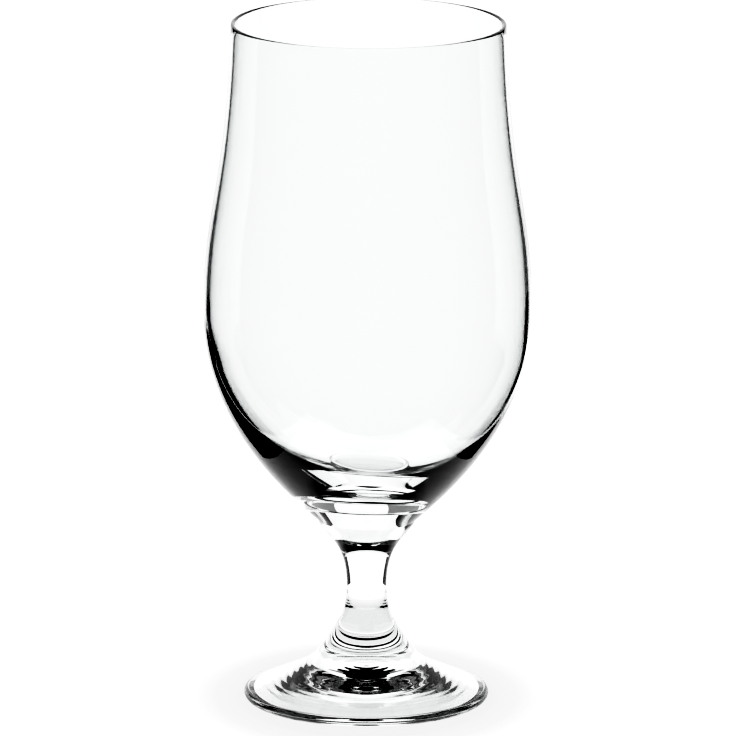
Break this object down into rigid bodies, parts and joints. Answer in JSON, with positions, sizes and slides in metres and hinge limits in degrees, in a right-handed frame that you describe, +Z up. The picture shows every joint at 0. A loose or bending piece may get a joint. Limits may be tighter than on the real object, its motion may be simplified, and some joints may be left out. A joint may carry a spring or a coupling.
{
  "type": "pilsner glass",
  "caption": "Clear footed pilsner glass: a tulip-shaped bowl that draws in to a thin rim, on a short solid stem and a round flared foot.",
  "frame": {"origin": "centre of the foot's flat resting ring, on the table", "axes": "+Z up along the glass's axis of revolution, towards the rim"},
  "size_m": [0.0856, 0.0856, 0.18],
  "materials": {
    "bowl_glass": "fire-polished clear soda-lime glass, blown",
    "stem_glass": "fire-polished clear soda-lime glass, drawn",
    "foot_glass": "fire-polished clear soda-lime glass, pressed"
  },
  "bodies": {
    "root": {"bowl": "bowl_glass", "stem": "stem_glass", "foot": "foot_glass"}
  },
  "joints": []
}
